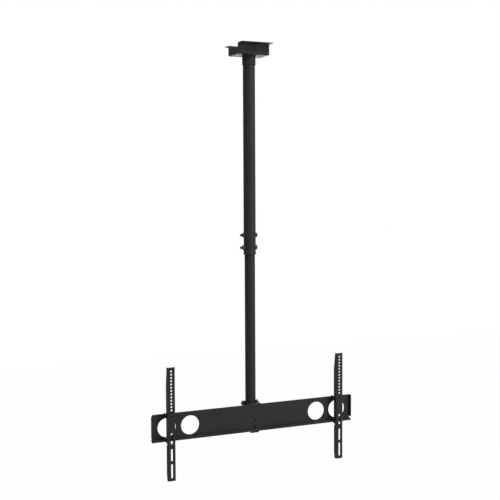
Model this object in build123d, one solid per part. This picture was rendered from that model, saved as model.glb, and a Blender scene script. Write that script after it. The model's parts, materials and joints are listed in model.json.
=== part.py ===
from build123d import *
import math
import os

os.makedirs("parts", exist_ok=True)

# Every length is in millimetres and every angle in degrees.
# The origin is on the mast's axis in the ceiling plane; +Z is up and the screen side faces -Y.

# Clearances
slide_gap = 0.3       # between pieces that hang, turn or slide on each other
pin_gap = 0.05        # round a pin that turns in its hole
thread_gap = 0.05     # between a screw and its thread, and round pressed-in plastic
hole_gap = 0.2        # round a bolt in a plain hole

# Fastener proportions
hex_chamfer = 0.6     # rise of a head's corner chamfer to its run
tip_chamfer = 0.08    # chamfer of a screw's tip to its diameter
key_depth = 0.55      # depth of a socket to its head's height
lock_ring = 0.84      # plastic ring of a locking nut to its width across flats
lock_hex = 0.8        # six-sided part of a locking nut to its height
dome_bulge = 0.5      # rise of a domed head's side above the straight line

# Ceiling bracket
bracket_length = 133.4
bracket_depth = 97.0
bracket_height = 43.0
bracket_flange = 39.5
bracket_sheet = 3.0
bracket_bend = 2.5
bracket_corner = 6.0
ceiling_slot_width = 9.0
ceiling_slot_length = 24.0
ceiling_slot_pitch = 76.0
ceiling_slot_inset = 17.0

# Mast tubes
mast_wall = 2.0
upper_diameter = 48.6
upper_length = 777.0
upper_end_gap = 0.5
lower_diameter = 42.0
lower_length = 740.0
pin_hole = 8.0
pin_hole_drop = 20.0
pin_hole_turn = 55.5

# Swivel under the ceiling bracket
collar_wall = 2.2
collar_length = 36.0
collar_chamfer = 0.8
stem_wall = 4.0
stem_flange = 74.0
stem_flange_height = 5.0
stem_reach = 70.0
stem_bolt = 8.0
stem_bolt_turn = 13.0
stem_head = 14.0
stem_head_height = 4.4
stem_head_edge = 1.2
stem_head_flat = 8.0
stem_key = 5.0
stem_head_gap = 1.0
stem_nut_flats = 13.0
stem_nut_height = 6.5
thrust_height = 2.0

# Bush, clamp points and guide at the joint of the two tubes
bush_rim = 1.6
bush_rim_height = 7.0
bush_chamfer = 0.8
bush_sleeve = 12.0
clamp_edge = 20.5
clamp_pitch = 50.0
clamp_screw = 10.0
clamp_boss = 22.0
clamp_boss_top = 18.0
clamp_boss_height = 2.4
clamp_nut_flats = 17.0
clamp_nut_height = 4.0
clamp_screw_proud = 10.3
clamp_socket = 5.0
clamp_socket_depth = 4.0
guide_height = 16.0
guide_lip = 2.0
guide_stop_gap = 1.5

# Tilt head
tilt_sheet = 3.0
tilt_bend = 1.5
tilt_round = 10.0
tilt_lock_radius = 30.0
tilt_down = 15.0
tilt_up = 5.0
tube_end_margin = 13.0
plug_rim = 3.0
plug_depth = 7.0
plug_wall = 2.0
pivot_bolt = 10.0
pivot_flats = 17.0
pivot_head_height = 5.0
pivot_nut_height = 13.0
pivot_washer = 20.0
pivot_washer_height = 2.0
lock_bolt = 8.0
lock_flats = 13.0
lock_head_height = 5.3
lock_nut_height = 8.0
lock_washer = 17.0
lock_washer_height = 1.6
lock_margin = 8.5
yoke_below_lock = 22.0

# Rail
rail_length = 868.0
rail_height = 107.0
rail_sheet = 2.5
rail_bend = 1.0
rail_standoff = 43.6
rail_above_pivot = 1.2
rail_lip = 13.0
rail_return = 10.5
rail_corner_width = 7.0
rail_corner_height = 10.0
rail_relief = 2.6
rail_relief_top = 16.2
rail_lip_inset = 1.5
rail_hole = 74.6
rail_hole_end = 63.3
rail_hole_pitch = 95.5
rail_hole_drop = 54.2
rail_slot_width = 7.0
rail_slot_length = 34.0
rail_slot_drop = 79.2
hook_width = 52.0
hook_sheet = 2.0
hook_gap = 0.6
hook_bend = 0.5
hook_drop = 10.0
hook_tongue = 37.0
hook_tongue_drop = 9.0
hook_taper_drop = 48.0
hook_taper = 30.0
rail_screw = 6.0
rail_screw_drop = 82.0
rail_head = 12.0
rail_head_height = 4.2
rail_head_edge = 1.6
rail_head_flat = 6.5
rail_key = 4.0
rail_washer = 14.0
rail_washer_height = 1.5
rail_nut_flats = 10.0
rail_nut_height = 5.0

# Arms
arm_inset = 70.0
arm_length = 439.0
arm_width = 30.5
arm_depth = 20.5
arm_low_depth = 19.0
arm_top_depth = 10.0
arm_foot_depth = 14.0
arm_sheet = 2.0
arm_bend = 1.0
arm_rise = 184.8
arm_standoff = 38.8
arm_top_taper = 72.0
arm_low_taper = 28.0
arm_hole = 7.2
arm_hole_count = 15
arm_hole_pitch = 12.5
arm_hole_edge = 15.0
arm_slot_width = 7.4
arm_slots = ((11.3, 55.0), (77.5, 47.0), (143.5, 42.0))
ear_finger = 3.0
ear_drop = 10.0
ear_height = 14.0
ear_low_rise = 14.7
ear_low_drop = 2.5
ear_relief = 9.0
ear_relief_depth = 13.0
ear_round = 0.8

# Levels and positions that follow from these
base_z = -bracket_height
floor_z = base_z + bracket_sheet
collar_low = base_z - collar_length
stem_bolt_z = collar_low - stem_head_gap - stem_head / 2
upper_radius = upper_diameter / 2
upper_bore = upper_radius - mast_wall
upper_top = base_z - upper_end_gap
upper_low = upper_top - upper_length
lower_radius = lower_diameter / 2
lower_bore = lower_radius - mast_wall
bush_low = upper_low - bush_rim_height
clamp_low = upper_low + clamp_edge
clamp_levels = (clamp_low, clamp_low + clamp_pitch)
guide_low = clamp_low + clamp_pitch + clamp_screw / 2 + guide_stop_gap
lower_top = guide_low + guide_height - guide_lip
lower_low = lower_top - lower_length
lock_z = lower_low + tube_end_margin
pivot_z = lock_z + tilt_lock_radius
rail_top = pivot_z + rail_above_pivot
rail_low = rail_top - rail_height
rail_front = -rail_standoff
rail_back = rail_front + rail_sheet
lip_front = rail_front - rail_lip
plate_back = rail_back + hook_sheet
cheek_inner = lower_radius + slide_gap
cheek_outer = cheek_inner + tilt_sheet
arm_front = rail_front - arm_standoff
arm_top = rail_top + arm_rise
arm_low = arm_top - arm_length
arm_offset = rail_length / 2 - arm_inset


def folded(points, sheet, bend):
    """Section of a folded sheet whose middle line runs through the points."""
    middle = FilletPolyline(*points, radius=bend + sheet / 2)
    return trace(middle, sheet)


def through(plane, outline, reach):
    """Solid of an outline drawn on a plane, reaching the same way to both sides."""
    return extrude(plane * outline, amount=reach, both=True)


def tube(radius, bore, low, high):
    """Upright tube on the mast's axis."""
    ring = Circle(radius) - Circle(bore)
    return extrude(Plane.XY.offset(low) * ring, amount=high - low)


def rod(radius, low, high):
    """Upright solid bar on the mast's axis."""
    return extrude(Plane.XY.offset(low) * Circle(radius), amount=high - low)


def hexagon(flats, height):
    """Six-sided head or nut blank whose upper corners are chamfered, standing on its plane."""
    prism = extrude(RegularPolygon(flats / 2, 6, major_radius=False), amount=height)
    corner = flats / math.sqrt(3)
    round_bar = extrude(Circle(corner), amount=height)
    run = corner - flats / 2
    top = round_bar.faces().sort_by(Axis.Z)[-1]
    return prism & chamfer(top.edges(), length=run, length2=run * hex_chamfer, reference=top)


def hex_nut(flats, height, thread):
    """Plain nut standing on its plane."""
    return hexagon(flats, height) - extrude(Circle(thread / 2 + thread_gap), amount=height)


def washer(diameter, height, thread):
    """Flat washer standing on its plane."""
    return extrude(Circle(diameter / 2) - Circle(thread / 2 + hole_gap), amount=height)


def shank(thread, length):
    """Bolt shank with a chamfered tip, standing on its plane."""
    bar = extrude(Circle(thread / 2), amount=length)
    return chamfer(bar.faces().sort_by(Axis.Z)[-1].edges(), length=thread * tip_chamfer)


def lock_nut_blank(flats, height, thread):
    """Locking nut with a round ring on top, standing on its plane."""
    ring = Circle(flats * lock_ring / 2) - Circle(thread / 2 + thread_gap)
    return hex_nut(flats, height * lock_hex, thread) + extrude(ring, amount=height)


def domed_head(diameter, edge, flat, height, key):
    """Round head with a domed side and a six-sided socket in its flat top, standing on its plane."""
    base = Polyline((0, height), (0, 0), (diameter / 2, 0), (diameter / 2, edge))
    dome = SagittaArc((diameter / 2, edge), (flat / 2, height), dome_bulge)
    lid = Line((flat / 2, height), (0, height))
    head = revolve(Plane.XZ * make_face([*base.edges(), dome, lid]), axis=Axis.Z)
    socket = RegularPolygon(key / 2, 6, major_radius=False)
    return head - extrude(Plane.XY.offset(height * (1 - key_depth)) * socket, amount=height)


def turned(turn):
    """Level direction that lies the given angle to the left of straight ahead."""
    return Vector(-math.sin(math.radians(turn)), -math.cos(math.radians(turn)), 0)


def facing(point, direction):
    """Plane at a point that looks along a level direction."""
    return Plane(origin=point, x_dir=(0, 0, 1), z_dir=direction)


cut_reach = 2 * rail_standoff
left = Vector(-1, 0, 0)
right = Vector(1, 0, 0)
front = Vector(0, -1, 0)
back = Vector(0, 1, 0)

# Ceiling bracket: hat section, slotted flanges and a hole for the swivel stem
wall_y = (bracket_depth - bracket_sheet) / 2
flange_y = bracket_depth / 2 + bracket_flange
flange_mid = -bracket_sheet / 2
base_mid = base_z + bracket_sheet / 2
hat = folded(
    (
        (-flange_y, flange_mid),
        (-wall_y, flange_mid),
        (-wall_y, base_mid),
        (wall_y, base_mid),
        (wall_y, flange_mid),
        (flange_y, flange_mid),
    ),
    bracket_sheet,
    bracket_bend,
)
stem_radius = upper_bore - thread_gap
ceiling_bracket = through(Plane.YZ, hat, bracket_length / 2)
flange_plan = RectangleRounded(bracket_length, 2 * flange_y, bracket_corner)
ceiling_bracket = ceiling_bracket & through(Plane.XY, flange_plan, bracket_height)
slot_y = flange_y - ceiling_slot_inset
ceiling_slot = SlotOverall(ceiling_slot_length, ceiling_slot_width)
slots = GridLocations(ceiling_slot_pitch, 2 * slot_y, 2, 2) * ceiling_slot
ceiling_bracket -= through(Plane.XY, Sketch() + slots, bracket_sheet + bracket_bend)
ceiling_bracket -= rod(stem_radius + slide_gap, base_z, floor_z)

# Collar under the bracket's base, round the top of the mast
collar_bore = upper_radius + slide_gap
collar = tube(collar_bore + collar_wall, collar_bore, collar_low, base_z)
collar_rim = collar.edges().filter_by(GeomType.CIRCLE).group_by(Axis.Z)[0].sort_by(SortBy.RADIUS)[-1]
collar = chamfer(collar_rim, length=collar_chamfer)

# Thrust washer on the bracket's base
thrust_washer = tube(stem_flange / 2, stem_radius + slide_gap, floor_z, floor_z + thrust_height)

# Swivel stem: a flanged tube that hangs on the thrust washer and carries the upper tube
stem_seat = floor_z + thrust_height
stem_low = base_z - stem_reach
stem_bore = stem_radius - stem_wall
swivel_stem = tube(stem_radius, stem_bore, stem_low, stem_seat)
swivel_stem += tube(stem_flange / 2, stem_bore, stem_seat, stem_seat + stem_flange_height)
stem_rim = swivel_stem.edges().filter_by(GeomType.CIRCLE).group_by(Axis.Z)[-1].sort_by(SortBy.RADIUS)[-1]
swivel_stem = chamfer(stem_rim, length=collar_chamfer)
stem_direction = turned(stem_bolt_turn)
stem_axis = facing((0, 0, stem_bolt_z), stem_direction)
stem_passage = through(stem_axis, Circle(stem_bolt / 2 + hole_gap), upper_diameter)
swivel_stem -= stem_passage

# Stem bolt: button head with a six-sided socket in front, nut behind
button_head = domed_head(stem_head, stem_head_edge, stem_head_flat, stem_head_height, stem_key)
stem_bolt_length = upper_diameter + stem_nut_height
stem_bolt_shape = button_head + Rot(180, 0, 0) * shank(stem_bolt, stem_bolt_length)
stem_middle = Vector(0, 0, stem_bolt_z)
stem_bolt_solid = facing(stem_middle + stem_direction * upper_radius, stem_direction) * stem_bolt_shape
stem_nut = hex_nut(stem_nut_flats, stem_nut_height, stem_bolt)
stem_nut = facing(stem_middle - stem_direction * upper_radius, -stem_direction) * stem_nut

# Upper tube with the bolt holes and the four clamp holes
upper_tube = tube(upper_radius, upper_bore, upper_low, upper_top)
upper_tube -= stem_passage
for level in clamp_levels:
    upper_tube -= through(facing((0, 0, level), right), Circle(clamp_screw / 2 + hole_gap), upper_diameter)

# Bush in the lower end of the upper tube
bush_bore = lower_radius + slide_gap
tube_bush = tube(upper_radius + bush_rim, bush_bore, bush_low, upper_low)
tube_bush = chamfer(
    tube_bush.edges().filter_by(GeomType.CIRCLE).sort_by(SortBy.RADIUS)[-2:], length=bush_chamfer
)
tube_bush += tube(upper_bore - thread_gap, bush_bore, upper_low, upper_low + bush_sleeve)

# Clamp bosses, lock nuts and screws, two a side; the left screws stand proud
boss_top = upper_radius + clamp_boss_height
boss_root = math.sqrt(upper_radius**2 - (clamp_boss / 2) ** 2)
boss_blank = Plane.XY.offset(boss_root) * Cone(
    clamp_boss / 2,
    clamp_boss_top / 2,
    boss_top - boss_root,
    align=(Align.CENTER, Align.CENTER, Align.MIN),
)
boss_blank -= extrude(Circle(clamp_screw / 2 + thread_gap), amount=upper_diameter)
clamp_nut = Pos(0, 0, boss_top) * hex_nut(clamp_nut_flats, clamp_nut_height, clamp_screw)
clamp_bosses = []
clamp_nuts = []
clamp_screws = []
screw_tip = lower_radius + slide_gap
for level in clamp_levels:
    for side, proud in ((left, clamp_screw_proud), (right, 0.0)):
        axis = facing((0, 0, level), side)
        clamp_bosses.append(axis * boss_blank - rod(upper_radius, level - clamp_boss, level + clamp_boss))
        clamp_nuts.append(axis * clamp_nut)
        screw_length = boss_top + clamp_nut_height + proud - screw_tip
        screw = shank(clamp_screw, screw_length)
        key = RegularPolygon(clamp_socket / 2, 6, major_radius=False)
        screw -= extrude(Plane.XY.offset(screw_length - clamp_socket_depth) * key, amount=clamp_socket_depth)
        clamp_screws.append(axis * (Pos(0, 0, screw_tip) * screw))

# Lower tube with its pin hole and the two tilt holes
lower_tube = tube(lower_radius, lower_bore, lower_low, lower_top)
pin_axis = facing((0, 0, upper_low - pin_hole_drop), turned(pin_hole_turn))
lower_tube -= extrude(pin_axis * Circle(pin_hole / 2), amount=lower_diameter)
lower_tube -= through(facing((0, 0, pivot_z), right), Circle(pivot_bolt / 2 + thread_gap), lower_diameter)
lower_tube -= through(facing((0, 0, lock_z), right), Circle(lock_bolt / 2 + thread_gap), lower_diameter)

# Guide ring that caps the lower tube inside the upper one
guide_ring = tube(upper_bore - slide_gap, lower_radius + thread_gap, guide_low, lower_top)
guide_ring += tube(upper_bore - slide_gap, lower_bore, lower_top, lower_top + guide_lip)

# Plug in the lower end
tube_plug = tube(lower_radius, lower_bore - plug_wall, lower_low - plug_rim, lower_low)
tube_plug += tube(lower_bore - thread_gap, lower_bore - plug_wall, lower_low, lower_low + plug_depth)

# Tilt bolts carried by the lower tube: heads on the right, nuts on the left, washers outside the cheeks
pivot_grip = cheek_outer + pivot_washer_height
pivot_length = 2 * pivot_grip + pivot_nut_height
pivot_bolt_shape = hexagon(pivot_flats, pivot_head_height) + Rot(180, 0, 0) * shank(pivot_bolt, pivot_length)
pivot_bolt_solid = facing((pivot_grip, 0, pivot_z), right) * pivot_bolt_shape
pivot_nut = lock_nut_blank(pivot_flats, pivot_nut_height, pivot_bolt)
pivot_nut = facing((-pivot_grip, 0, pivot_z), left) * pivot_nut
pivot_disc = washer(pivot_washer, pivot_washer_height, pivot_bolt)
pivot_washers = [facing((cheek_outer * side.X, 0, pivot_z), side) * pivot_disc for side in (left, right)]

lock_grip = cheek_outer + lock_washer_height
lock_length = 2 * lock_grip + lock_nut_height
lock_bolt_shape = hexagon(lock_flats, lock_head_height) + Rot(180, 0, 0) * shank(lock_bolt, lock_length)
lock_bolt_solid = facing((lock_grip, 0, lock_z), right) * lock_bolt_shape
lock_nut = lock_nut_blank(lock_flats, lock_nut_height, lock_bolt)
lock_nut = facing((-lock_grip, 0, lock_z), left) * lock_nut
lock_disc = washer(lock_washer, lock_washer_height, lock_bolt)
lock_washers = [facing((cheek_outer * side.X, 0, lock_z), side) * lock_disc for side in (left, right)]

# Tilt yoke: a folded channel whose cheeks straddle the tube, with curved slots for the lock bolt
yoke_low = lock_z - yoke_below_lock
cheek_mid = (cheek_inner + cheek_outer) / 2
yoke_plan = folded(
    (
        (-cheek_mid, tilt_round),
        (-cheek_mid, plate_back + tilt_sheet / 2),
        (cheek_mid, plate_back + tilt_sheet / 2),
        (cheek_mid, tilt_round),
    ),
    tilt_sheet,
    tilt_bend,
)
tilt_yoke = extrude(Plane.XY.offset(yoke_low) * yoke_plan, amount=pivot_z + tilt_round - yoke_low)
lock_reach = tilt_lock_radius + lock_bolt / 2 + slide_gap + lock_margin
hook_top = rail_top + hook_gap + hook_sheet
cheek_corners = Polyline(
    (plate_back, hook_top),
    (plate_back, yoke_low),
    (plate_back + tilt_sheet, yoke_low),
    (lock_reach * math.sin(math.radians(tilt_up)) + lock_margin, pivot_z - lock_reach),
    (tilt_round, pivot_z),
    close=True,
)
cheek_side = make_hull([*cheek_corners.edges(), *(Pos(0, pivot_z) * Circle(tilt_round)).edges()])
tilt_yoke = tilt_yoke & through(Plane.YZ, cheek_side, cheek_outer)
tilt_yoke -= through(facing((0, 0, pivot_z), right), Circle(pivot_bolt / 2 + pin_gap), lower_diameter)
slot_arc = CenterArc((0, pivot_z), tilt_lock_radius, -90 - tilt_down, tilt_down + tilt_up)
lock_slot = trace(slot_arc, lock_bolt + 2 * slide_gap)
lock_slot += [Pos(*(slot_arc @ end)) * Circle(lock_bolt / 2 + slide_gap) for end in (0, 1)]
tilt_yoke -= through(Plane.YZ, lock_slot, lower_diameter)

# Hook plate: folded over the rail's top edge, narrowed to a tongue below
hook_front = rail_front - slide_gap - hook_sheet / 2
hook_level = hook_top - hook_sheet / 2
plate_mid = rail_back + hook_sheet / 2
plate_low = rail_low - hook_tongue_drop
hook_section = folded(
    (
        (hook_front, rail_top - hook_drop),
        (hook_front, hook_level),
        (plate_mid, hook_level),
        (plate_mid, plate_low),
    ),
    hook_sheet,
    hook_bend,
)
taper_top = rail_top - hook_taper_drop
taper_low = taper_top - hook_taper
hook_outline = make_face(
    Polyline(
        (-hook_width / 2, hook_top),
        (hook_width / 2, hook_top),
        (hook_width / 2, taper_top),
        (hook_tongue / 2, taper_low),
        (hook_tongue / 2, plate_low),
        (-hook_tongue / 2, plate_low),
        (-hook_tongue / 2, taper_low),
        (-hook_width / 2, taper_top),
        close=True,
    )
)
rail_screw_z = rail_top - rail_screw_drop
hook_plate = through(Plane.YZ, hook_section, hook_width / 2)
hook_plate = hook_plate & through(Plane.XZ, hook_outline, cut_reach)
hook_plate -= through(facing((0, 0, rail_screw_z), front), Circle(rail_screw / 2 + hole_gap), cut_reach)

# Rail: upright face with a turned-up lip below, a forward lip at each end and four round holes
rail_mid = rail_front + rail_sheet / 2
end_mid = (rail_length - rail_sheet) / 2
lip_mid = rail_low + rail_sheet / 2
return_mid = lip_front + rail_sheet / 2
relief_z = rail_low + rail_relief_top
return_top = rail_low + rail_return
rail_hole_z = rail_top - rail_hole_drop
face_plan = folded(
    ((-end_mid, lip_front), (-end_mid, rail_mid), (end_mid, rail_mid), (end_mid, lip_front)),
    rail_sheet,
    rail_bend,
)
rail = extrude(Plane.XY.offset(relief_z) * face_plan, amount=rail_top - relief_z)
lip_section = folded(
    ((rail_mid, relief_z), (rail_mid, lip_mid), (return_mid, lip_mid), (return_mid, return_top)),
    rail_sheet,
    rail_bend,
)
rail += through(Plane.YZ, lip_section, rail_length / 2 - rail_lip_inset)
relief = Rectangle(2 * rail_relief, relief_z - return_top)
relief_mid = (return_top + relief_z) / 2
reliefs = [Pos(rail_length / 2 * side.X, relief_mid) * relief for side in (left, right)]
rail -= through(Plane.XZ, Sketch() + reliefs, cut_reach)
left_end = -rail_length / 2
end_corner = make_face(
    Polyline(
        (left_end, rail_top),
        (left_end + rail_corner_width, rail_top),
        (left_end, rail_top - rail_corner_height),
        close=True,
    )
)
rail -= through(Plane.XZ, end_corner, cut_reach)
rail_hole_outer = rail_length / 2 - rail_hole_end
for centre in (rail_hole_outer, rail_hole_outer - rail_hole_pitch):
    for side in (left, right):
        hole_axis = facing((centre * side.X, 0, rail_hole_z), front)
        rail -= through(hole_axis, Circle(rail_hole / 2), cut_reach)
slot_axis = facing((0, 0, rail_top - rail_slot_drop), front)
rail -= through(slot_axis, SlotOverall(rail_slot_length, rail_slot_width), cut_reach)

# Rail screw with its washer and nut
rail_ring = washer(rail_washer, rail_washer_height, rail_screw)
rail_ring = facing((0, rail_front, rail_screw_z), front) * rail_ring
pan_head = domed_head(rail_head, rail_head_edge, rail_head_flat, rail_head_height, rail_key)
rail_grip = plate_back - rail_front + rail_washer_height
rail_bolt_shape = pan_head + Rot(180, 0, 0) * shank(rail_screw, rail_grip + rail_nut_height)
rail_bolt = facing((0, rail_front - rail_washer_height, rail_screw_z), front) * rail_bolt_shape
rail_nut = facing((0, plate_back, rail_screw_z), back) * hex_nut(rail_nut_flats, rail_nut_height, rail_screw)

# Arms: folded channels with ears that hook over the rail's top edge and its turned-up lip
flange_back = arm_front + arm_depth
hook_up = rail_top + slide_gap + ear_finger
hook_back = rail_back + slide_gap + ear_finger
ear_face = rail_front - slide_gap
lip_in = lip_front + rail_sheet + slide_gap
lip_out = lip_front - slide_gap
ear_low = rail_low - ear_low_drop
arm_side = make_face(
    Polyline(
        (arm_front, arm_top),
        (arm_front + arm_top_depth, arm_top),
        (flange_back, arm_top - arm_top_taper),
        (flange_back, hook_up),
        (hook_back, hook_up),
        (hook_back, rail_top - ear_drop),
        (hook_back - ear_finger, rail_top - ear_drop),
        (hook_back - ear_finger, rail_top + slide_gap),
        (ear_face, rail_top + slide_gap),
        (ear_face, rail_top - ear_height),
        (flange_back, rail_top - ear_height),
        (flange_back, rail_low + ear_low_rise),
        (ear_face, rail_low + ear_low_rise),
        (ear_face, rail_low + rail_sheet + slide_gap),
        (lip_in, rail_low + rail_sheet + slide_gap),
        (lip_in, return_top + slide_gap),
        (lip_out, return_top + slide_gap),
        (lip_out, ear_low),
        (arm_front + ear_relief_depth, ear_low),
        (arm_front + ear_relief_depth, ear_low - ear_relief),
        (arm_front + arm_low_depth, ear_low - ear_relief),
        (arm_front + arm_low_depth, arm_low + arm_low_taper),
        (arm_front + arm_foot_depth, arm_low),
        (arm_front, arm_low),
        close=True,
    )
)
arm_corners = arm_side.vertices().filter_by(lambda corner: corner.X > flange_back)
hook_corners = arm_corners.filter_by(lambda corner: corner.Y > rail_top - ear_height)
arm_side = Plane.YZ * fillet(hook_corners, radius=ear_round)
flange_mid_x = (arm_width - arm_sheet) / 2
face_mid_y = arm_front + arm_sheet / 2
arm_plan = folded(
    (
        (-flange_mid_x, hook_back),
        (-flange_mid_x, face_mid_y),
        (flange_mid_x, face_mid_y),
        (flange_mid_x, hook_back),
    ),
    arm_sheet,
    arm_bend,
)
arm = extrude(Plane.XY.offset(arm_low) * arm_plan, amount=arm_length)
arm = arm & extrude(arm_side, amount=arm_width / 2, both=True)
hole_levels = [arm_top - arm_hole_edge - index * arm_hole_pitch for index in range(arm_hole_count)]
hole_row = [Pos(0, level) * Circle(arm_hole / 2) for level in hole_levels]
slot_row = [
    Pos(0, arm_low + edge + length / 2) * Rot(0, 0, 90) * SlotOverall(length, arm_slot_width)
    for edge, length in arm_slots
]
face_depth = Plane.XZ.offset(-arm_front + arm_sheet)
arm -= extrude(face_depth * (Sketch() + hole_row + slot_row), amount=-arm_depth / 2)

nodes = {
    "ceiling_bracket": ceiling_bracket,
    "collar": collar,
    "thrust_washer": thrust_washer,
    "swivel_stem": swivel_stem,
    "stem_bolt": stem_bolt_solid,
    "stem_nut": stem_nut,
    "upper_tube": upper_tube,
    "tube_bush": tube_bush,
    "clamp_bosses": Compound(children=clamp_bosses),
    "clamp_nuts": Compound(children=clamp_nuts),
    "clamp_screws": Compound(children=clamp_screws),
    "lower_tube": lower_tube,
    "guide_ring": guide_ring,
    "tube_plug": tube_plug,
    "pivot_bolt": pivot_bolt_solid,
    "pivot_nut": pivot_nut,
    "pivot_washers": Compound(children=pivot_washers),
    "lock_bolt": lock_bolt_solid,
    "lock_nut": lock_nut,
    "lock_washers": Compound(children=lock_washers),
    "tilt_yoke": tilt_yoke,
    "hook_plate": hook_plate,
    "rail": rail,
    "rail_screw": rail_bolt,
    "rail_screw_washer": rail_ring,
    "rail_screw_nut": rail_nut,
    "left_arm": Pos(-arm_offset, 0, 0) * arm,
    "right_arm": Pos(arm_offset, 0, 0) * arm,
}
for name, shape in nodes.items():
    export_step(shape, f"parts/{name}.step")
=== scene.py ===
import json
import math

import bmesh
import bpy
from bmesh.types import BMEdge, BMVert
from mathutils import Matrix, Vector


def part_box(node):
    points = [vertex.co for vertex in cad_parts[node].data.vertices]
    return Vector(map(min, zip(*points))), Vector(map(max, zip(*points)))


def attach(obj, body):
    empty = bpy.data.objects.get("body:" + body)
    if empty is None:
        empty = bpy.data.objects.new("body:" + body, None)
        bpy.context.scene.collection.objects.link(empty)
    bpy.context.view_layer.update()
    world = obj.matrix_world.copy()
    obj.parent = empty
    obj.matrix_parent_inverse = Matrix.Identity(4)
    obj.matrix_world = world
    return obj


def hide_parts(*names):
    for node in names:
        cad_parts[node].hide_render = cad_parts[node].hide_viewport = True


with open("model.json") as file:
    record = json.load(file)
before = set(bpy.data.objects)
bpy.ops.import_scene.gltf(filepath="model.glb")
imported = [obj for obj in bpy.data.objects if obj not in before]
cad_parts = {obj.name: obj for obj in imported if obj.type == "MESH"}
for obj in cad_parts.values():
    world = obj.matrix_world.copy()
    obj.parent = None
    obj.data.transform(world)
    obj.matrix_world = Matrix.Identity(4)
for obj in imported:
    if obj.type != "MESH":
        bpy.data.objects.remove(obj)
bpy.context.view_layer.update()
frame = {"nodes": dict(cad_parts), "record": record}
nodes = frame["nodes"]
scene = bpy.context.scene
scene.view_settings.view_transform = "Standard"

# Lengths are in metres, in the frame of the solids: the mast's axis is Z and the ceiling is at 0.
MM = 0.001

# Camera: angles in degrees, lens and sensor in millimetres
CAMERA_PLACE = Vector((-1.49085, -3.39314, -0.57114))
CAMERA_YAW = 23.737
CAMERA_PITCH = 3.689
CAMERA_ROLL = -0.280
CAMERA_LENS = 66.885
SENSOR = 36.0
VIEW_END = 100.0

# Lamps, which all look at the middle: name, place, side of the square and power in watts
MIDDLE = Vector((0.0, 0.0, -0.9))
LAMPS = (
    ("key", Vector((2.8, -4.2, -0.6)), 2.2, 124.0),
    ("top", Vector((0.7, -2.4, 2.3)), 1.8, 110.0),
    ("back", Vector((1.4, 4.4, 0.2)), 2.2, 130.0),
)

# Room
WHITE = (1.0, 1.0, 1.0, 1.0)
SOFT_STRENGTH = 0.33
WHITE_STRENGTH = 1.0
FLOOR_LEVEL = -5.0
FLOOR_SIDE = 40.0
FLOOR_GREY = (0.8, 0.8, 0.8, 1.0)
FLOOR_GLOW_SHARE = 0.992

# Skin of the finishes: noise values lie mostly between low and high
CLOUD_SCALE = 22.0
CLOUD_DETAIL = 3.0
CLOUD_ROUGHNESS = 0.55
SMEAR_SCALE = 60.0
SMEAR_DETAIL = 2.0
SMEAR_ROUGHNESS = 0.5
PEBBLE_DETAIL = 1.5
PEBBLE_HEIGHT = 0.1 * MM
NOISE_LOW = 0.3
NOISE_HIGH = 0.7

# Meshes of the new pieces: angles in degrees, above which an edge is crisp
MERGE_DISTANCE = 0.005 * MM
CUT_DISTANCE = 0.001 * MM
WELD_EDGE_ANGLE = 180.0
SCREW_EDGE_ANGLE = 35.0

# Beads of weld, which the solids leave out
WELD_SIDES = 10
RIPPLE_STEPS = 5
RIPPLE_RISE = 0.09
RIPPLE_PITCH = 2.4 * MM
RUN_END_FULLNESS = 0.15
COLLAR_BEAD_RADIUS = 1.7 * MM
COLLAR_BEAD_OFFSET = 0.3 * MM
COLLAR_RIPPLES = 70
BOSS_BEAD_RADIUS = 1.1 * MM
BOSS_BEAD_INSET = 0.5 * MM
BOSS_RIPPLES = 28
YOKE_BEAD_RADIUS = 1.8 * MM
YOKE_BEAD_LENGTH = 38.0 * MM
YOKE_BEAD_FROM_SIDE = 2.6 * MM
YOKE_BEAD_FROM_FRONT = 0.9 * MM
YOKE_BEAD_FROM_BOTTOM = 7.0 * MM

# Threads of the clamp screws: the half widths of crest and foot are shares of the pitch
THREAD_PITCH = 1.5 * MM
THREAD_DEPTH = 0.85 * MM
THREAD_STEPS = 36
THREAD_CREST = 0.08
THREAD_FOOT = 0.42
SPARE_TURNS = 2
SCREW_TIP_STEP = 0.15 * MM
SCREW_TIP_GAP = 0.3 * MM
SOCKET_SIDES = 6
SOCKET_FLATS = 5.0 * MM
SOCKET_DEPTH = 4.0 * MM


def link(tree, source, target):
    """Joins two sockets of a node tree."""
    tree.links.new(source, target)


def add(tree, kind, **values):
    """Adds a node and sets its properties."""
    node = tree.nodes.new(kind)
    for name, value in values.items():
        setattr(node, name, value)
    return node


def noise(tree, place, scale, detail, roughness):
    """Noise texture that reads the given coordinates."""
    node = add(tree, "ShaderNodeTexNoise")
    node.inputs["Scale"].default_value = scale
    node.inputs["Detail"].default_value = detail
    node.inputs["Roughness"].default_value = roughness
    link(tree, place, node.inputs["Vector"])
    return node.outputs["Fac"]


def spread(tree, value, low, high):
    """Maps the usual range of a noise value onto low to high."""
    node = add(tree, "ShaderNodeMapRange")
    link(tree, value, node.inputs["Value"])
    node.inputs["From Min"].default_value = NOISE_LOW
    node.inputs["From Max"].default_value = NOISE_HIGH
    link(tree, low, node.inputs["To Min"])
    link(tree, high, node.inputs["To Max"])
    return node.outputs["Result"]


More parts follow.
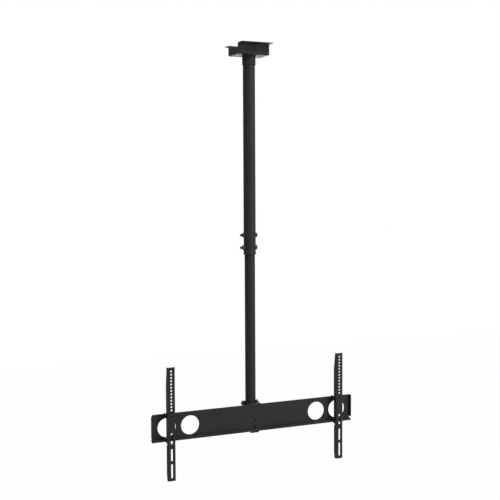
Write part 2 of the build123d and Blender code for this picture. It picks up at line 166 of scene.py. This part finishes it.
def make_coat_skin():
    """Shared surface effect: cloudy colour, uneven roughness and a fine pebbled skin."""
    group = bpy.data.node_groups.new("coat_skin", "ShaderNodeTree")
    for direction, kind, names in (
        ("INPUT", "NodeSocketColor", ("Dark", "Light")),
        ("INPUT", "NodeSocketFloat", ("Roughness Low", "Roughness High", "Pebble Scale")),
        ("OUTPUT", "NodeSocketColor", ("Color",)),
        ("OUTPUT", "NodeSocketFloat", ("Roughness", "Height")),
    ):
        for name in names:
            group.interface.new_socket(name=name, in_out=direction, socket_type=kind)
    given = add(group, "NodeGroupInput")
    result = add(group, "NodeGroupOutput")
    place = add(group, "ShaderNodeTexCoord").outputs["Object"]
    cloud = noise(group, place, CLOUD_SCALE, CLOUD_DETAIL, CLOUD_ROUGHNESS)
    mix = add(group, "ShaderNodeMix", data_type="RGBA")
    link(group, cloud, mix.inputs["Factor"])
    link(group, given.outputs["Dark"], mix.inputs["A"])
    link(group, given.outputs["Light"], mix.inputs["B"])
    link(group, mix.outputs["Result"], result.inputs["Color"])
    smear = noise(group, place, SMEAR_SCALE, SMEAR_DETAIL, SMEAR_ROUGHNESS)
    uneven = spread(group, smear, given.outputs["Roughness Low"], given.outputs["Roughness High"])
    link(group, uneven, result.inputs["Roughness"])
    pebble = add(group, "ShaderNodeTexNoise")
    pebble.inputs["Detail"].default_value = PEBBLE_DETAIL
    link(group, place, pebble.inputs["Vector"])
    link(group, given.outputs["Pebble Scale"], pebble.inputs["Scale"])
    link(group, pebble.outputs["Fac"], result.inputs["Height"])
    return group


COAT_SKIN = make_coat_skin()


def make_finish(name, dark, light, roughness, pebble_scale, bump, specular):
    """Material made from the shared surface effect."""
    material = bpy.data.materials.new(name)
    material.use_nodes = True
    tree = material.node_tree
    shader = tree.nodes["Principled BSDF"]
    skin = add(tree, "ShaderNodeGroup", node_tree=COAT_SKIN)
    skin.inputs["Dark"].default_value = (*dark, 1.0)
    skin.inputs["Light"].default_value = (*light, 1.0)
    skin.inputs["Roughness Low"].default_value = roughness[0]
    skin.inputs["Roughness High"].default_value = roughness[1]
    skin.inputs["Pebble Scale"].default_value = pebble_scale
    link(tree, skin.outputs["Color"], shader.inputs["Base Color"])
    link(tree, skin.outputs["Roughness"], shader.inputs["Roughness"])
    bump_node = add(tree, "ShaderNodeBump")
    bump_node.inputs["Strength"].default_value = bump
    bump_node.inputs["Distance"].default_value = PEBBLE_HEIGHT
    link(tree, skin.outputs["Height"], bump_node.inputs["Height"])
    link(tree, bump_node.outputs["Normal"], shader.inputs["Normal"])
    shader.inputs["Specular IOR Level"].default_value = specular
    return material


powder_coat = make_finish(
    "powder_coat",
    dark=(0.0204, 0.0209, 0.0207),
    light=(0.0253, 0.0260, 0.0257),
    roughness=(0.45, 0.55),
    pebble_scale=850.0,
    bump=0.25,
    specular=0.08,
)
black_zinc = make_finish(
    "black_zinc",
    dark=(0.014, 0.014, 0.0143),
    light=(0.022, 0.022, 0.0225),
    roughness=(0.30, 0.42),
    pebble_scale=400.0,
    bump=0.10,
    specular=0.3,
)
black_plastic = make_finish(
    "black_plastic",
    dark=(0.012, 0.012, 0.0122),
    light=(0.016, 0.016, 0.0163),
    roughness=(0.45, 0.58),
    pebble_scale=1400.0,
    bump=0.15,
    specular=0.2,
)
FINISH = {"powder_coat": powder_coat, "fastener": black_zinc, "plastic": black_plastic}

for part in frame["record"]["subparts"]:
    mesh = nodes[part["node"]].data
    mesh.materials.clear()
    mesh.materials.append(FINISH[part["material_slot"]])


def new_piece(name, shape, body, slot, edge_angle):
    """Finishes a mesh as a piece that rides on a body; edges sharper than the angle stay crisp."""
    bmesh.ops.remove_doubles(shape, verts=shape.verts, dist=MERGE_DISTANCE)
    bmesh.ops.recalc_face_normals(shape, faces=shape.faces)
    for face in shape.faces:
        face.smooth = True
    mesh = bpy.data.meshes.new(name)
    shape.to_mesh(mesh)
    shape.free()
    mesh.set_sharp_from_angle(angle=math.radians(edge_angle))
    mesh.materials.append(FINISH[slot])
    piece = bpy.data.objects.new(name, mesh)
    scene.collection.objects.link(piece)
    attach(piece, body)
    return piece


def new_verts(shape, known):
    """Vertices of a mesh that are not among those known before."""
    return [vert for vert in shape.verts if vert not in known]


def only(kind, items):
    """Those of the items that are of one kind, such as edges."""
    return [item for item in items if isinstance(item, kind)]


def edges_of(verts):
    """Edges whose two ends are both among the vertices, in a fixed order."""
    chosen = set(verts)
    found = dict.fromkeys(edge for vert in verts for edge in vert.link_edges)
    return [edge for edge in found if chosen.issuperset(edge.verts)]


def turn_about(shape, verts, axis, angle):
    """Turns vertices about an axis through the origin."""
    bmesh.ops.rotate(shape, verts=verts, matrix=Matrix.Rotation(angle, 3, axis))


def ring_weld(shape, radius, thick, ripples):
    """Adds a rippled ring of weld round the Z axis and returns its vertices."""
    known = set(shape.verts)
    start = bmesh.ops.create_circle(shape, cap_ends=False, segments=WELD_SIDES, radius=thick)["verts"]
    turn_about(shape, start, "X", math.pi / 2)
    bmesh.ops.translate(shape, verts=start, vec=(radius, 0.0, 0.0))
    bmesh.ops.spin(
        shape,
        geom=start + edges_of(start),
        cent=(0.0, 0.0, 0.0),
        axis=(0.0, 0.0, 1.0),
        angle=2 * math.pi,
        steps=ripples * RIPPLE_STEPS,
        use_merge=True,
    )
    ring = new_verts(shape, known)
    for vert in ring:
        angle = math.atan2(vert.co.y, vert.co.x)
        middle = Vector((radius * math.cos(angle), radius * math.sin(angle), 0.0))
        vert.co = middle + (vert.co - middle) * (1.0 + RIPPLE_RISE * math.sin(ripples * angle))
    return ring


def straight_weld(shape, thick, length):
    """Adds a rippled run of weld along Z from the origin and returns its vertices."""
    known = set(shape.verts)
    start = bmesh.ops.create_circle(shape, cap_ends=True, segments=WELD_SIDES, radius=thick)["verts"]
    ripples = round(length / RIPPLE_PITCH)
    steps = ripples * RIPPLE_STEPS
    edges = edges_of(start)
    for _ in range(steps):
        moved = only(BMVert, bmesh.ops.extrude_edge_only(shape, edges=edges)["geom"])
        edges = edges_of(moved)
        bmesh.ops.translate(shape, verts=moved, vec=(0.0, 0.0, length / steps))
    bmesh.ops.contextual_create(shape, geom=edges)
    run = new_verts(shape, known)
    for vert in run:
        near_end = min(vert.co.z, length - vert.co.z) / (2 * thick)
        swell = math.sqrt(min(1.0, RUN_END_FULLNESS + near_end))
        ripple = 1.0 + RIPPLE_RISE * math.sin(2 * math.pi * ripples * vert.co.z / length)
        vert.co.x *= swell * ripple
        vert.co.y *= swell * ripple
    return run


# Weld round the collar, under the bracket's base
collar_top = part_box("collar")[1]
collar_bead = bmesh.new()
collar_ring = ring_weld(
    collar_bead, collar_top.x + COLLAR_BEAD_OFFSET, COLLAR_BEAD_RADIUS, COLLAR_RIPPLES
)
bmesh.ops.translate(
    collar_bead, verts=collar_ring, vec=(0.0, 0.0, collar_top.z - COLLAR_BEAD_OFFSET)
)
new_piece("collar_weld", collar_bead, "ceiling_part", "powder_coat", WELD_EDGE_ANGLE)

# Welds round the clamp bosses, bent to the round of the upper tube
tube_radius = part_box("upper_tube")[1].x
boss_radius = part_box("clamp_bosses")[1].y
screw_low, screw_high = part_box("clamp_screws")
screw_radius = screw_high.y
clamp_levels = (screw_low.z + screw_radius, screw_high.z - screw_radius)
boss_beads = bmesh.new()
for level in clamp_levels:
    for turn in (0.0, math.pi):
        ring = ring_weld(boss_beads, boss_radius - BOSS_BEAD_INSET, BOSS_BEAD_RADIUS, BOSS_RIPPLES)
        turn_about(boss_beads, ring, "Y", math.pi / 2)
        for vert in ring:
            vert.co.x += math.sqrt(tube_radius**2 - vert.co.y**2)
        turn_about(boss_beads, ring, "Z", turn)
        bmesh.ops.translate(boss_beads, verts=ring, vec=(0.0, 0.0, level))
new_piece("boss_welds", boss_beads, "upper_mast", "powder_coat", WELD_EDGE_ANGLE)

# Upright welds along the yoke's folded front corners, where it meets the hook plate
yoke_low, yoke_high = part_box("tilt_yoke")
yoke_beads = bmesh.new()
for side in (-1.0, 1.0):
    run = straight_weld(yoke_beads, YOKE_BEAD_RADIUS, YOKE_BEAD_LENGTH)
    seat = Vector(
        (
            side * (yoke_high.x - YOKE_BEAD_FROM_SIDE),
            yoke_low.y + YOKE_BEAD_FROM_FRONT,
            yoke_low.z + YOKE_BEAD_FROM_BOTTOM,
        )
    )
    bmesh.ops.translate(yoke_beads, verts=run, vec=seat)
new_piece("yoke_welds", yoke_beads, "tilt_head", "powder_coat", WELD_EDGE_ANGLE)

screw_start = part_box("lower_tube")[1].x + SCREW_TIP_GAP
thread_root = screw_radius - THREAD_DEPTH


def spin_thread(shape, length):
    """Adds the thread's skin along Z, from under the origin to beyond the length."""
    turns = math.ceil(length / THREAD_PITCH) + SPARE_TURNS
    points = (
        (thread_root, -0.5),
        (thread_root, -THREAD_FOOT),
        (screw_radius, -THREAD_CREST),
        (screw_radius, THREAD_CREST),
        (thread_root, THREAD_FOOT),
        (thread_root, 0.5),
    )
    profile = [shape.verts.new((x, 0.0, (z - 0.5) * THREAD_PITCH)) for x, z in points]
    edges = [shape.edges.new(pair) for pair in zip(profile, profile[1:])]
    bmesh.ops.spin(
        shape,
        geom=profile + edges,
        cent=(0.0, 0.0, 0.0),
        axis=(0.0, 0.0, 1.0),
        dvec=(0.0, 0.0, THREAD_PITCH / THREAD_STEPS),
        angle=2 * math.pi * turns,
        steps=turns * THREAD_STEPS,
    )


def trim_end(shape, bar, level, side):
    """Cuts a bar off square at a level, on its lower (-1) or upper (1) side; returns the rim's edges."""
    faces = dict.fromkeys(face for vert in bar for face in vert.link_faces)
    cut = bmesh.ops.bisect_plane(
        shape,
        geom=bar + edges_of(bar) + list(faces),
        dist=CUT_DISTANCE,
        plane_co=(0.0, 0.0, level),
        plane_no=(0.0, 0.0, side),
        clear_outer=True,
    )["geom_cut"]
    return only(BMEdge, cut)


def close_with_socket(shape, rim, level):
    """Closes the upper end of a bar with a face that has a hexagon socket in it."""
    corners = bmesh.ops.create_circle(
        shape, cap_ends=False, segments=SOCKET_SIDES, radius=SOCKET_FLATS / math.sqrt(3)
    )["verts"]
    # Loops in one plane may be bridged crosswise, so the mouth is lowered onto the end afterwards.
    bmesh.ops.translate(shape, verts=corners, vec=(0.0, 0.0, level + SOCKET_DEPTH))
    mouth = edges_of(corners)
    bmesh.ops.bridge_loops(shape, edges=rim + mouth)
    bmesh.ops.translate(shape, verts=corners, vec=(0.0, 0.0, -SOCKET_DEPTH))
    floor = only(BMVert, bmesh.ops.extrude_edge_only(shape, edges=mouth)["geom"])
    bmesh.ops.translate(shape, verts=floor, vec=(0.0, 0.0, -SOCKET_DEPTH))
    bmesh.ops.contextual_create(shape, geom=edges_of(floor))


def threaded_screw(shape, length):
    """Adds a threaded screw from the origin along Z, with chamfered ends; returns its vertices."""
    known = set(shape.verts)
    spin_thread(shape, length)
    bmesh.ops.remove_doubles(shape, verts=new_verts(shape, known), dist=MERGE_DISTANCE)
    tip = trim_end(shape, new_verts(shape, known), 0.0, -1.0)
    bmesh.ops.contextual_create(shape, geom=tip)
    rim = trim_end(shape, new_verts(shape, known), length, 1.0)
    close_with_socket(shape, rim, length)
    bar = new_verts(shape, known)
    for vert in bar:
        reach = vert.co.xy.length
        limit = thread_root + SCREW_TIP_STEP + max(0.0, min(vert.co.z, length - vert.co.z))
        if reach > limit:
            vert.co.xy *= limit / reach
    return bar


# Clamp screws, each from just outside the lower tube to the outer end of the plain one
screws = bmesh.new()
for level in clamp_levels:
    for turn, end in ((0.0, screw_high.x), (math.pi, -screw_low.x)):
        bar = threaded_screw(screws, end - screw_start)
        turn_about(screws, bar, "Y", math.pi / 2)
        bmesh.ops.translate(screws, verts=bar, vec=(screw_start, 0.0, 0.0))
        turn_about(screws, bar, "Z", turn)
        bmesh.ops.translate(screws, verts=bar, vec=(0.0, 0.0, level))
threaded_screws = new_piece("threaded_clamp_screws", screws, "upper_mast", "fastener", SCREW_EDGE_ANGLE)
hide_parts("clamp_screws")


def add_camera():
    """Camera at the viewing angle, turned by yaw, pitch and roll."""
    yaw, pitch, roll = (math.radians(a) for a in (CAMERA_YAW, CAMERA_PITCH, CAMERA_ROLL))
    right = Vector((math.cos(yaw), -math.sin(yaw), 0.0))
    ahead = Vector((math.sin(yaw), math.cos(yaw), 0.0))
    level_up = Vector((0.0, 0.0, 1.0))
    forward = ahead * math.cos(pitch) - level_up * math.sin(pitch)
    up = level_up * math.cos(pitch) + ahead * math.sin(pitch)
    turned_right = right * math.cos(roll) + up * math.sin(roll)
    turned_up = up * math.cos(roll) - right * math.sin(roll)
    data = bpy.data.cameras.new("camera")
    data.sensor_fit = "HORIZONTAL"
    data.sensor_width = SENSOR
    data.lens = CAMERA_LENS
    data.clip_end = VIEW_END
    camera = bpy.data.objects.new("camera", data)
    turn = Matrix((turned_right, turned_up, -forward)).transposed().to_4x4()
    camera.matrix_world = Matrix.Translation(CAMERA_PLACE) @ turn
    scene.collection.objects.link(camera)
    scene.camera = camera


def add_lamp(name, place, side, power):
    """Square soft light that looks at the middle."""
    data = bpy.data.lights.new(name, "AREA")
    data.size = side
    data.energy = power
    lamp = bpy.data.objects.new(name, data)
    aim = (MIDDLE - place).to_track_quat("-Z", "Y").to_matrix().to_4x4()
    lamp.matrix_world = Matrix.Translation(place) @ aim
    scene.collection.objects.link(lamp)


def seen_directly(tree):
    """1 for camera, glossy and transmission rays, otherwise 0."""
    path = add(tree, "ShaderNodeLightPath")
    seen = path.outputs["Is Camera Ray"]
    for kind in ("Is Glossy Ray", "Is Transmission Ray"):
        either = add(tree, "ShaderNodeMath", operation="MAXIMUM")
        link(tree, seen, either.inputs[0])
        link(tree, path.outputs[kind], either.inputs[1])
        seen = either.outputs["Value"]
    return seen


def mixed(tree, share, first, second):
    """Mixes two shaders, with a share of the second."""
    mix = add(tree, "ShaderNodeMixShader")
    link(tree, share, mix.inputs["Fac"])
    link(tree, first, mix.inputs[1])
    link(tree, second, mix.inputs[2])
    return mix.outputs["Shader"]


def background(tree, strength):
    """White background of a given strength."""
    node = add(tree, "ShaderNodeBackground")
    node.inputs["Color"].default_value = WHITE
    node.inputs["Strength"].default_value = strength
    return node.outputs["Background"]


def add_surrounding():
    """White surrounding that lights the object more softly than it looks."""
    world = bpy.data.worlds.new("studio")
    world.use_nodes = True
    scene.world = world
    tree = world.node_tree
    tree.nodes.clear()
    output = add(tree, "ShaderNodeOutputWorld")
    soft = background(tree, SOFT_STRENGTH)
    white = background(tree, WHITE_STRENGTH)
    link(tree, mixed(tree, seen_directly(tree), soft, white), output.inputs["Surface"])


def make_pale_floor():
    """Floor material that looks nearly white and lights the object as a pale matte one."""
    material = bpy.data.materials.new("pale_floor")
    material.use_nodes = True
    tree = material.node_tree
    tree.nodes.clear()
    output = add(tree, "ShaderNodeOutputMaterial")
    matte = add(tree, "ShaderNodeBsdfDiffuse")
    matte.inputs["Color"].default_value = FLOOR_GREY
    glow = add(tree, "ShaderNodeEmission")
    glow.inputs["Color"].default_value = WHITE
    share = add(tree, "ShaderNodeMath", operation="MULTIPLY")
    link(tree, seen_directly(tree), share.inputs[0])
    share.inputs[1].default_value = FLOOR_GLOW_SHARE
    surface = mixed(tree, share.outputs["Value"], matte.outputs["BSDF"], glow.outputs["Emission"])
    link(tree, surface, output.inputs["Surface"])
    return material


def add_floor():
    """Plain floor well below the object, so that it can be seen from below."""
    shape = bmesh.new()
    bmesh.ops.create_grid(shape, x_segments=1, y_segments=1, size=FLOOR_SIDE / 2)
    bmesh.ops.translate(shape, verts=shape.verts, vec=(0.0, 0.0, FLOOR_LEVEL))
    mesh = bpy.data.meshes.new("floor")
    shape.to_mesh(mesh)
    shape.free()
    mesh.materials.append(make_pale_floor())
    floor = bpy.data.objects.new("floor", mesh)
    scene.collection.objects.link(floor)


add_camera()
add_surrounding()
add_floor()
for lamp_values in LAMPS:
    add_lamp(*lamp_values)
